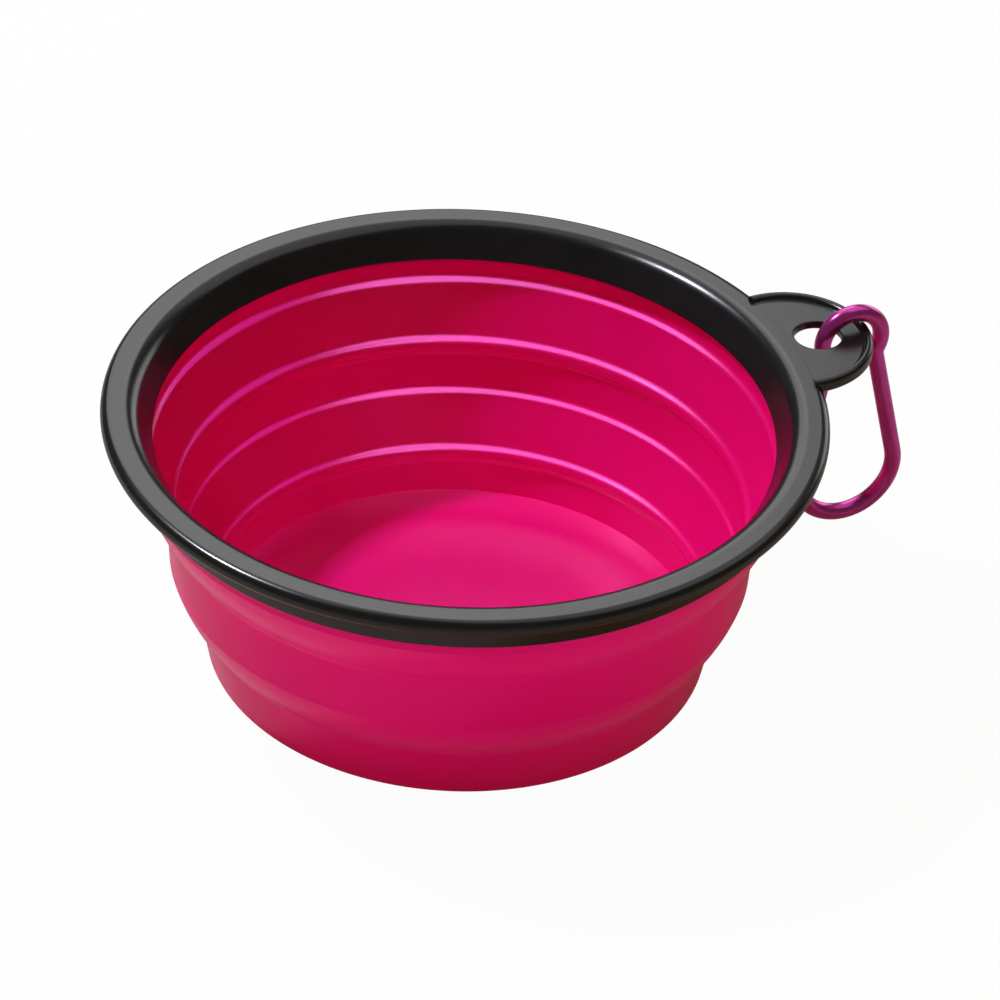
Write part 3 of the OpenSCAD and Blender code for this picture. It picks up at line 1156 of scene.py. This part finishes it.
    def nose_tongue(self) -> Thing:
        """Hooked end of the body that the latch pin drops into."""
        half, notch = self.nose_w / 2, self.pin_r + self.pin_gap
        left, right = self.side_x - half, self.side_x + half
        foot, tip = -self.bend_y - self.tongue_root, -self.bend_y + self.nose_h
        round_end = arc((self.side_x, -self.pin_y), notch, 270.0, 180.0, 18.0)
        outline = [(left, foot), (right, foot), (right, tip - self.nose_slope),
                   (right - self.nose_slope, tip), (left + self.nose_corner, tip),
                   (left, tip - self.nose_corner), (left, -self.pin_y + notch),
                   *reversed(round_end), (left, -self.pin_y - notch)]
        return soften(self.plate("nose_tongue", outline, self.tongue_t), self.nose_soft)

    def gate_rod(self, shop: Workshop) -> Thing:
        """Rod of the gate, with a slot at each end and a rounded top.

        Args:
            shop: maker of bent pieces.

        Returns:
            The gate.
        """
        pivot, spare = self.pivot_y, self.cutter_spare
        top, low = pivot - self.rod_r + self.gate_start, self.bend_y - self.gate_gap
        line = self.placed(self.straight(top, low, self.gate_runs), self.gate)
        thing = shop.rod("gate_rod", line, self.rod_r, self.finish)
        wide = 2 * self.rod_r + spare
        reach = self.rod_r + self.crown_spare
        left, right = self.side_x - reach, self.side_x + reach
        crown = [*arc((self.side_x, -pivot), self.rod_r, 0.0, 180.0, 10.0), (left, -pivot),
                 (left, -top + spare), (right, -top + spare), (right, -pivot)]
        latch_y = self.bend_y - self.nose_h - self.gate_gap
        cutters = [self.plate("crown", crown, wide),
                   self.slot("top_slot", wide, pivot - self.slot_rise, pivot + self.slot_floor),
                   self.slot("low_slot", wide, latch_y, low + spare)]
        return smoothed(cut(thing, cutters))

    def cross_pin(self, shop: Workshop, name: str, radius: float, y: float) -> Thing:
        """A peened pin across the gate.

        Args:
            shop: maker of turned pieces.
            name: name of the piece.
            radius: radius of the pin.
            y: its distance from the eye.

        Returns:
            The pin.
        """
        half, shoulder = self.rod_r, self.rod_r - self.pin_dome
        past_axis = -1.0
        outline = rounded([(past_axis, -half, 0.0), (radius, -shoulder, self.pin_crown),
                           (radius, shoulder, self.pin_crown), (past_axis, half, 0.0)])
        outline = [(0.0, -half), *outline[1:-1], (0.0, half)]
        section = braced(outline, False, brace=self.pin_run)
        thing = shop.turn(name, section, self.steel, self.pin_steps)
        turn = self.hang @ self.gate @ Matrix.Translation((self.side_x, -y, 0.0))
        turn.translation *= MM
        thing.data.transform(turn)
        thing.data.flip_normals()
        return thing

    def build(self, shop: Workshop) -> None:
        """Makes the body, the gate, the rivet, the latch pin and dresses the hidden spring.

        Args:
            shop: maker of turned and bent pieces.
        """
        rod = shop.rod("body_rod", self.body_path(), self.rod_r, self.finish)
        parts = [soften(rod, self.rod_soft), self.hinge_tongue(), self.nose_tongue()]
        body = smoothed(merged("carabiner_rod", parts))
        settle(body, Body.CARABINER, Slot.ROD, "carabiner_body")
        settle(self.gate_rod(shop), Body.GATE, Slot.ROD, "carabiner_gate")
        pins = (("rivet_pin", self.rivet_r, self.pivot_y, "gate_rivet"),
                ("latch_cross_pin", self.pin_r, self.pin_y, "latch_pin"))
        for name, radius, y, node in pins:
            settle(self.cross_pin(shop, name, radius, y), Body.GATE, Slot.STEEL, node)
        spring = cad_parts["gate_spring"]
        spring.data.materials.clear()
        spring.data.materials.append(self.steel.material())


class Reach(Enum):
    """What a lamp shows on."""

    EVERYTHING = "everything"
    GLOSS = "gloss"
    CUP_GLOSS = "gloss of the cup"


@dataclass(frozen=True)
class Lamp:
    """A soft lamp aimed at the bowl, placed by its bearing to the left of the camera's view."""

    name: str
    bearing_deg: float
    height_deg: float
    distance: float
    size: tuple[float, float]
    power: float
    colour: Colour = WHITE
    reach: Reach = Reach.EVERYTHING

    def hang(self, aim: Vector, ahead_deg: float, cup: bpy.types.Collection) -> None:
        """Adds the lamp.

        Args:
            aim: point that it is aimed at, in metres.
            ahead_deg: bearing of the camera's view about the upright axis.
            cup: the silicone pieces, which a card for their gloss is kept to.
        """
        light = bpy.data.lights.new(self.name, "AREA")
        light.shape = "RECTANGLE"
        light.size, light.size_y = self.size
        light.energy = self.power
        light.color = self.colour
        thing = linked(self.name, light)
        thing.visible_diffuse = self.reach is Reach.EVERYTHING
        if self.reach is Reach.CUP_GLOSS:
            thing.light_linking.receiver_collection = cup
        bearing = math.radians(ahead_deg + self.bearing_deg)
        height = math.radians(self.height_deg)
        away = Vector((math.cos(bearing) * math.cos(height),
                       math.sin(bearing) * math.cos(height), math.sin(height)))
        thing.location = aim + away * self.distance
        thing.rotation_euler = (-away).to_track_quat("-Z", "Y").to_euler()


@dataclass
class Studio:
    """Pale floor, white surroundings, soft lamps and the camera."""

    aim: Corner = (6.293, -2.736, 31.62)
    ahead: Corner = (0.3233, 0.7436, -0.5854)
    distance: float = 1042.0
    roll: float = -0.047688
    lens: float = 208.2
    sensor: float = 36.0
    far_clip: float = 50.0
    floor_half: float = 4000.0
    floor_z: float = -0.2
    floor_colour: Colour = (0.85, 0.85, 0.85)
    floor_white: float = 0.965
    floor_dim: float = 0.02
    floor_dim_share: float = 0.5
    bounce: Colour = (0.66, 0.5, 0.56)
    glow: float = 1.1
    glow_r: Flat = (0.036, 0.1)
    ambient: float = 0.9
    ambient_colour: Colour = (1.0, 0.7, 0.1)
    horizon_rise: float = 3.3
    overhead_dim: float = 0.9
    gloss_level: float = 0.1
    lamps: tuple[Lamp, ...] = (
        Lamp("key_lamp", 70.6, 56.0, 1.0, (0.09, 0.09), 7.0, (1.0, 1.0, 1.15)),
        Lamp("back_card", 10.0, 33.0, 1.2, (0.64, 0.75), 2.8),
        Lamp("front_card", 180.0, 5.0, 1.3, (2.0, 1.0), 0.4),
        Lamp("fold_card", 150.0, 68.0, 1.0, (2.5, 1.0), 128.0, reach=Reach.CUP_GLOSS),
        Lamp("high_card", -34.0, 66.0, 1.2, (1.6, 1.1), 4.6, reach=Reach.GLOSS),
        Lamp("right_card", -34.0, 9.0, 1.2, (0.7, 0.5), 2.0, reach=Reach.GLOSS),
        Lamp("side_card", -70.0, 36.0, 1.0, (1.1, 0.95), 22.0, (1.0, 0.12, 0.75), Reach.CUP_GLOSS),
    )

    @staticmethod
    def rays(graph: Graph) -> tuple[Signal, Signal, Signal]:
        """Tells the rays of a picture apart.

        Args:
            graph: node tree of the floor or of the world.

        Returns:
            Three numbers that are one for rays to the eye, in a gloss, and for either.
        """
        ray = graph.node("ShaderNodeLightPath").outputs
        straight = Signal(graph, ray["Is Camera Ray"])
        seen = (straight + Signal(graph, ray["Is Transmission Ray"])).clamped()
        gloss = Signal(graph, ray["Is Glossy Ray"])
        return seen, gloss, (seen + gloss).clamped()

    def floor(self) -> None:
        """Adds the pale floor, which keeps a soft shadow."""
        half, z = self.floor_half, self.floor_z
        corners = [(-half, -half, z), (half, -half, z), (half, half, z), (-half, half, z)]
        thing = new_thing("floor", corners, faces=[range(4)])
        material = bpy.data.materials.new("white_table")
        material.use_nodes = True
        graph = Graph(material.node_tree)
        seen, gloss, plain = self.rays(graph)
        pale = graph.tint(plain, self.bounce, self.floor_colour)
        matt = graph.node("ShaderNodeBsdfDiffuse", {"Color": pale}).outputs[0]
        # The floor gives off light that the camera never sees: a painted bounce light on the bowl,
        # faded out near the bowl's foot as painted shade.
        size = graph.node("ShaderNodeVectorMath", {0: graph.place()}, operation="LENGTH")
        near, far = self.glow_r
        bounce_glow_fade = (Signal(graph, size.outputs["Value"]) - near) * (1.0 / (far - near))
        glow = graph.glow(self.bounce, (1.0 - plain) * bounce_glow_fade.clamped() * self.glow)
        lit = graph.node("ShaderNodeAddShader", {0: matt, 1: glow}).outputs[0]
        dim = graph.glow(WHITE, self.floor_dim)
        table = graph.blend(gloss * self.floor_dim_share, lit, dim)
        both = graph.blend(seen * self.floor_white, table, graph.glow(WHITE, 1.0))
        graph.node("ShaderNodeOutputMaterial", {"Surface": both})
        material.cycles.emission_sampling = "NONE"
        thing.data.materials.append(material)

    def world(self) -> None:
        """Sets white surroundings that light the bowl at a plain level."""
        world = bpy.data.worlds.new("white_room")
        world.use_nodes = True
        world.cycles.sampling_method = "NONE"
        bpy.context.scene.world = world
        graph = Graph(world.node_tree)
        seen, gloss, plain = self.rays(graph)
        way = graph.node("ShaderNodeTexCoord").outputs["Generated"]
        up = Signal(graph, graph.node("ShaderNodeSeparateXYZ", {0: way}).outputs["Z"]).clamped()
        level = self.ambient * (up * self.horizon_rise).clamped() * (1.0 - up * self.overhead_dim)
        strength = seen + gloss * self.gloss_level + (1.0 - plain) * level
        colour = graph.tint(plain, self.ambient_colour, WHITE)
        sky = graph.node("ShaderNodeBackground", {"Color": colour, "Strength": strength})
        graph.node("ShaderNodeOutputWorld", {"Surface": sky.outputs[0]})

    def camera(self) -> None:
        """Adds the camera at the photograph's place."""
        ahead = Vector(self.ahead).normalized()
        right = ahead.cross(Vector((0.0, 0.0, 1.0))).normalized()
        up = right.cross(ahead)
        turned_right = right * math.cos(self.roll) - up * math.sin(self.roll)
        turned_up = right * math.sin(self.roll) + up * math.cos(self.roll)
        lens = bpy.data.cameras.new("photo_camera")
        lens.sensor_width = self.sensor
        lens.lens = self.lens
        lens.clip_end = self.far_clip
        thing = linked("photo_camera", lens)
        turn = Matrix((turned_right, turned_up, -ahead)).transposed().to_4x4()
        eye = (Vector(self.aim) - ahead * self.distance) * MM
        thing.matrix_world = Matrix.Translation(eye) @ turn
        bpy.context.scene.camera = thing

    def build(self, cup: Sequence[Thing]) -> None:
        """Sets up the whole stage round the bowl.

        Args:
            cup: the silicone pieces.
        """
        self.floor()
        self.world()
        ahead_deg = math.degrees(math.atan2(self.ahead[1], self.ahead[0]))
        lit = bpy.data.collections.new("silicone_pieces")
        for piece in cup:
            lit.objects.link(piece)
        for lamp in self.lamps:
            lamp.hang(Vector(self.aim) * MM, ahead_deg, lit)
        self.camera()
        bpy.context.scene.view_settings.view_transform = "Standard"


def main() -> None:
    logging.basicConfig(level=logging.INFO, format="%(name)s: %(message)s")
    shop = Workshop()
    cup = FoldingCup().build(shop)
    Rim().build(shop)
    Carabiner().build(shop)
    Studio().build(cup)


if __name__ == "__main__":
    main()
